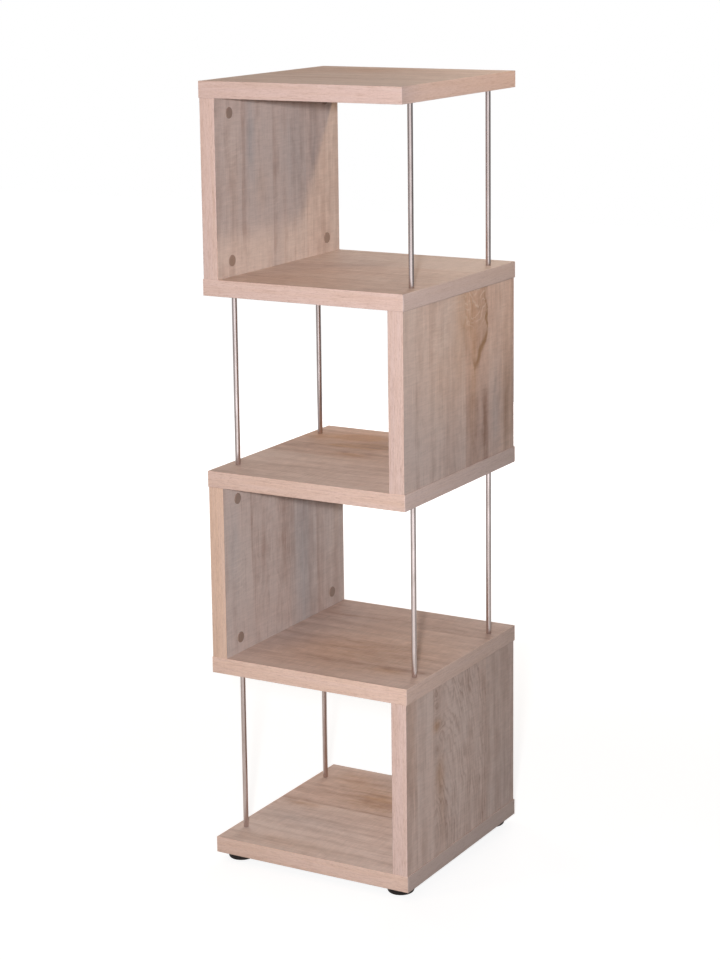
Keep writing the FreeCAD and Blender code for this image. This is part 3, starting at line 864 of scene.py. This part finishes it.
def glideFinish():
    look = glideLook
    finish = Finish("glide_black_plastic")
    point = finish.place()
    grain = finish.noise(point, look["grain"])
    dust = finish.noise(point, look["dust"], 3.0)
    low = 1 - point[2].rise(*look["scuffTop"])
    scuff = finish.noise(point, look["scuff"]).rise(0.55, 0.75) * low
    worn = (dust.rise(0.5, 0.85) * 0.35 + scuff * 0.5).least(1.0)
    colour = finish.blend(worn, tint(look["colour"]), tint(look["dusty"]))
    rough = grain.sway(0.15) + worn * 0.2 + look["roughness"]
    return finish.surface({
        "Base Color": finish.shade(colour, 1 + grain.sway(0.2)), "Roughness": rough,
        "Normal": finish.bump(grain * 0.6 - scuff, look["relief"]), "Specular IOR Level": look["specular"],
    })


def makeGlides():
    material = glideFinish()
    look = glideLook
    turn = np.linspace(0, math.pi / 2, 7)
    hole, shank, dish = look["holeRadius"], look["shankRadius"], look["dish"]
    down, up = look["lowerRound"], look["upperRound"]
    grooveAt, g = look["grooveHeight"], look["groove"]
    (dishFrom, deepFrom), (deepTo, dishTo) = look["dishStart"], look["dishEnd"]
    for name in glideNames:
        low, high = boxOf(name)
        r, h = (high[0] - low[0]) / 2, high[2]
        underside = [(hole + dishFrom, 0), (hole + deepFrom, dish), (r * deepTo, dish), (r * dishTo, 0)]
        lower = [(r - down + down * math.sin(a), down - down * math.cos(a)) for a in turn]
        grooved = [(r, grooveAt - g), (r - g, grooveAt), (r, grooveAt + g)]
        upper = [(r - up + up * math.cos(a), h - up + up * math.sin(a)) for a in turn]
        bore = [(shank, h), (shank, look["seatTop"]), (hole, look["headRecess"]), (hole, 0)]
        profile = underside + lower + grooved + upper + bore
        base = ((low[0] + high[0]) / 2, (low[1] + high[1]) / 2, 0)
        glide = turnedPart(profile, base, (0, 0, 1), look["around"], looped=True)
        buildPiece(name + "_disc", [glide], material, "glide_plastic", name)
    print("glides made:", len(glideNames))


makeGlides()


# Fittings inside the joints keep their construction meshes and get their own finishes. The sizes of the
# patches of each noise are in x, y and z.

zincLook = {
    "colour": (178, 180, 182),
    "shade": (150, 152, 156),
    "cast": (0.8, 0.8, 0.8),
    "bloom": (5, 5, 5),
    "roughness": 0.42,
    "relief": 0.12,
}


def zincFinish():
    look = zincLook
    finish = Finish("cast_zinc")
    point = finish.place()
    cast = finish.noise(point, look["cast"], 3.0)
    bloom = finish.noise(point, look["bloom"]).rise(0.35, 0.7)
    colour = finish.blend(bloom, tint(look["colour"]), tint(look["shade"]))
    return finish.surface({
        "Base Color": finish.shade(colour, 1 + cast.sway(0.2)), "Metallic": 1.0,
        "Roughness": cast.sway(0.3) + look["roughness"], "Normal": finish.bump(cast, look["relief"]),
    })


boltLook = {
    "colour": (196, 196, 190),
    "shade": (176, 172, 158),
    "turned": (4, 4, 0.18),    # fine lines left by turning
    "bloom": (3, 3, 6),
    "roughness": 0.3,
    "relief": 0.04,
}


def boltFinish():
    look = boltLook
    finish = Finish("bolt_zinc_plated_steel")
    point = finish.place()
    turned = finish.noise(point, look["turned"])
    bloom = finish.noise(point, look["bloom"])
    colour = finish.blend(bloom, tint(look["colour"]), tint(look["shade"]))
    return finish.surface({
        "Base Color": finish.shade(colour, 1 + turned.sway(0.2)), "Metallic": 1.0,
        "Roughness": turned.sway(0.2) + look["roughness"], "Normal": finish.bump(turned, look["relief"]),
    })


beechLook = {
    "colour": (214, 178, 138),
    "shade": (186, 142, 102),
    "grain": (1.1, 1.1, 26),
    "fleck": (0.5, 0.5, 2.6),
    "roughness": 0.5,
    "relief": 0.1,
}


def beechFinish():
    look = beechLook
    finish = Finish("dowel_beech")
    point = finish.place()
    grain = finish.noise(point, look["grain"], 3.0)
    fleck = finish.noise(point, look["fleck"], 1.0).rise(0.62, 0.72)
    colour = finish.blend(grain.rise(0.35, 0.75), tint(look["colour"]), tint(look["shade"]))
    return finish.surface({
        "Base Color": finish.shade(colour, 1 - fleck * 0.2), "Roughness": grain * 0.2 + look["roughness"],
        "Normal": finish.bump(grain - fleck, look["relief"]),
    })


def dressFittings():
    finishes = {"_cams": zincFinish(), "_cam_bolts": boltFinish(), "_dowels": beechFinish()}
    for name in panelNames:
        for ending, material in finishes.items():
            dress(name + ending, material)
    dress("glide_screws", finishes["_cam_bolts"])
    print("fittings dressed")


dressFittings()


# Floor, backdrop and lamps

studio = {
    "floorSize": 14000,
    "floorColour": (0.35, 0.35, 0.35),
    "fade": (500, 2400),       # distances over which the floor changes from near to far
    "glowNear": 0.8,           # how white the floor is seen, beside the object and far from it
    "glowFar": 1.0,
    "ambient": (0.1, 0.088, 0.08),
    # what the steel and the sheen of the laminate show: a wide light stands in front, towards the front
    # vector, the back is less bright, and the sides are dim, the right one more. The spreads are cosines
    # of the angle from the front, the back and the right, from where the light starts to where it is full.
    "front": (0.497, -0.868),
    "roomFront": 1.1, "roomBack": 0.6, "roomSide": 0.36, "roomRight": 0.2,
    "frontSpread": (0.55, 0.95), "backSpread": (0.3, 0.8), "rightSpread": (0.1, 0.8),
    "roomTint": (1, 0.98, 0.97),
    "floorNear": 0.42,         # the floor beside the object, in the same way
    "floorTint": (1, 0.9, 0.8),
    "floorTintFar": 0.2,       # how much of that tint is left far from it
    "spotBlend": 0.15,
    # a lamp without shine isn't mirrored in steel or laminate
    "lamps": {
        "keyLamp": {"kind": "AREA", "place": (1640, -3180, 1555), "aim": (0, 0, 620), "size": 160,
                    "power": 114, "colour": (0.985, 1, 1.035), "shine": False},
        "warmLamp": {"kind": "SPOT", "place": (870, 448, 1650), "aim": (0, 40, 1010), "size": 80,
                     "cone": 33, "power": 17, "colour": (1, 0.78, 0.53), "shine": False},
        "frontLeftLamp": {"kind": "SPOT", "place": (-960, -1530, 2316), "aim": (0, 0, 700), "size": 380,
                          "cone": 60, "power": 23, "colour": (1, 0.74, 0.52), "shine": False},
        "backLamp": {"kind": "AREA", "place": (-500, 2700, 2300), "aim": (0, 0, 600), "size": 1500,
                     "power": 11.5, "colour": (1, 0.85, 0.72), "shine": True},
        "leftBackLamp": {"kind": "AREA", "place": (-2400, 1500, 2000), "aim": (0, 0, 600), "size": 1500,
                         "power": 18.5, "colour": (1, 0.83, 0.66), "shine": True},
        "lowBackLamp": {"kind": "AREA", "place": (-900, 3200, 900), "aim": (0, 0, 620), "size": 2000,
                        "power": 38, "colour": (1, 0.97, 0.94), "shine": False},
    },
}


def roomLevel(x, y):
    # how bright the reflected room is towards the level direction (x, y)
    ahead, aside = studio["front"]
    facing = x * ahead + y * aside
    rightward = x * -aside + y * ahead
    side = studio["roomSide"]
    level = facing.rise(*studio["frontSpread"]) * (studio["roomFront"] - side) + side
    level = level + (facing * -1).rise(*studio["backSpread"]) * (studio["roomBack"] - side)
    return level - rightward.rise(*studio["rightSpread"]) * studio["roomRight"]


def makeFloor():
    half = studio["floorSize"] / 2 * mm
    mesh = bpy.data.meshes.new("floor")
    corners = [(-half, -half, 0), (half, -half, 0), (half, half, 0), (-half, half, 0)]
    mesh.from_pydata(corners, [], [(0, 1, 2, 3)])
    floor = bpy.data.objects.new("floor", mesh)
    bpy.context.scene.collection.objects.link(floor)
    finish = Finish("pale_floor")
    x, y = finish.place()[:2]
    radius = (x * x + y * y).root().most(1)
    away = radius.rise(*studio["fade"])
    near, far = studio["glowNear"], studio["glowFar"]
    paint = finish.add("BsdfDiffuse", None, {"Color": studio["floorColour"]})
    cameraRay = finish.add("LightPath", out="Is Camera Ray")
    glossyRay = finish.add("LightPath", out="Is Glossy Ray")
    mirrored = away * (roomLevel(x / radius, y / radius) - studio["floorNear"]) + studio["floorNear"]
    strength = cameraRay * (away * (far - near) + near) + glossyRay * mirrored
    tinted = 1 - away * (1 - studio["floorTintFar"])
    colour = finish.blend(glossyRay * tinted, (1, 1, 1), studio["floorTint"])
    glow = finish.add("Emission", None, {"Color": colour, "Strength": strength})
    both = finish.add("AddShader", None, {0: paint, 1: glow})
    mesh.materials.append(finish.end("OutputMaterial", both))


def makeWorld():
    world = bpy.data.worlds.new("studio")
    bpy.context.scene.world = world
    finish = Finish("studio", world)
    x, y = finish.parts(finish.add("TexCoord", out="Generated"))[:2]
    cameraRay = finish.add("LightPath", out="Is Camera Ray")
    glossyRay = finish.add("LightPath", out="Is Glossy Ray")
    mirrored = finish.shade(studio["roomTint"], roomLevel(x, y))
    colour = finish.blend(glossyRay, studio["ambient"], mirrored)
    colour = finish.blend(cameraRay, colour, (1, 1, 1))
    finish.end("OutputWorld", finish.add("Background", None, {"Color": colour}))


def makeLamps():
    for name, lamp in studio["lamps"].items():
        data = bpy.data.lights.new(name, lamp["kind"])
        if lamp["kind"] == "AREA":
            data.shape = "DISK"
            data.size = lamp["size"] * mm
        else:
            data.shadow_soft_size = lamp["size"] / 2 * mm
            data.spot_size = math.radians(lamp["cone"])
            data.spot_blend = studio["spotBlend"]
        data.energy = lamp["power"]
        data.color = lamp["colour"]
        place = Vector(lamp["place"]) * mm
        toward = Vector(lamp["aim"]) * mm - place
        turn = toward.to_track_quat("-Z", "Y").to_matrix().to_4x4()
        light = bpy.data.objects.new(name, data)
        light.visible_camera = False
        light.visible_glossy = lamp["shine"]
        light.matrix_world = Matrix.Translation(place) @ turn
        bpy.context.scene.collection.objects.link(light)


makeFloor()
makeWorld()
makeLamps()
bpy.context.scene.view_settings.view_transform = "Standard"
print("studio ready")
